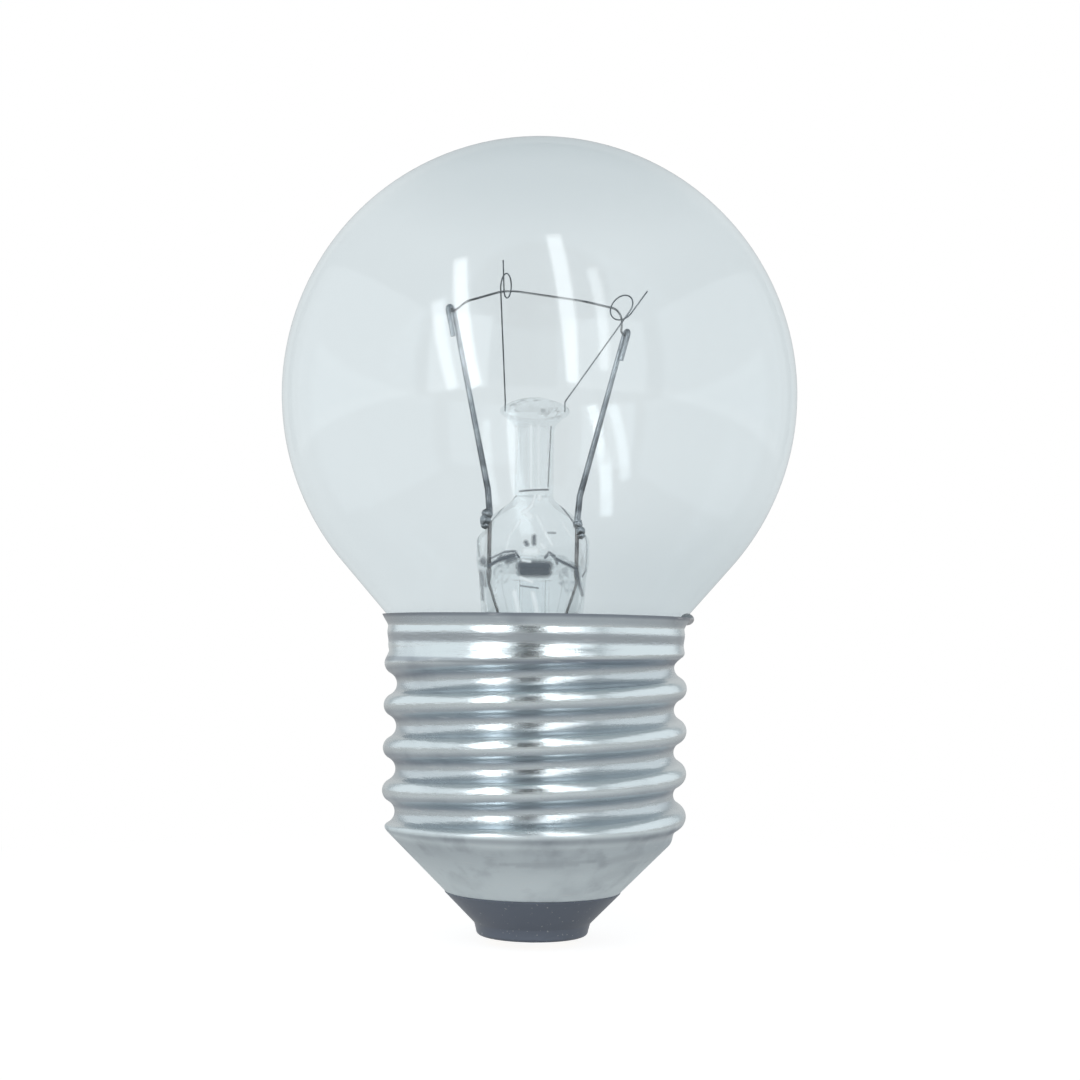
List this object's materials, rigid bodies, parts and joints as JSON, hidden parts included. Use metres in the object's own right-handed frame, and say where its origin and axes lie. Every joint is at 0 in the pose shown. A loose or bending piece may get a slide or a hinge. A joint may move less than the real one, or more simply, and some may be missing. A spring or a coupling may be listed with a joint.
{
  "type": "globe_filament_bulb",
  "caption": "Clear glass globe bulb with a coiled filament on support wires, a glass stem and a rolled E27 screw cap",
  "frame": {"origin": "tip of the solder dome on the centre contact, on the lamp's axis", "axes": "+Z along the lamp's axis to the top of the globe, +X to the side solder, -Y to the blown hole of the stem"},
  "size_m": [0.0446, 0.0446, 0.0693],
  "materials": {
    "clear_glass": "clear blown glass",
    "nickel_wire": "drawn nickel wire",
    "seal_wire": "copper-clad wire",
    "support_wire": "fine drawn wire",
    "tungsten": "coiled wire",
    "cap_metal": "bright rolled sheet",
    "black_glass": "moulded black glass",
    "contact_brass": "pressed sheet",
    "solder": "dull melted solder",
    "cement": "baked capping cement"
  },
  "bodies": {
    "root": {"globe_envelope": "clear_glass", "stem_flare": "clear_glass", "exhaust_tube": "clear_glass", "arbor_rod": "clear_glass", "inner_lead_left": "nickel_wire", "inner_lead_right": "nickel_wire", "seal_wire_left": "seal_wire", "seal_wire_right": "seal_wire", "outer_lead_centre": "seal_wire", "outer_lead_side": "seal_wire", "support_wire_left": "support_wire", "support_wire_right": "support_wire", "filament": "tungsten", "cap_shell": "cap_metal", "cap_insulator": "black_glass", "contact_plate": "contact_brass", "centre_solder": "solder", "capping_cement": "cement", "side_solder": "solder"}
  },
  "joints": []
}
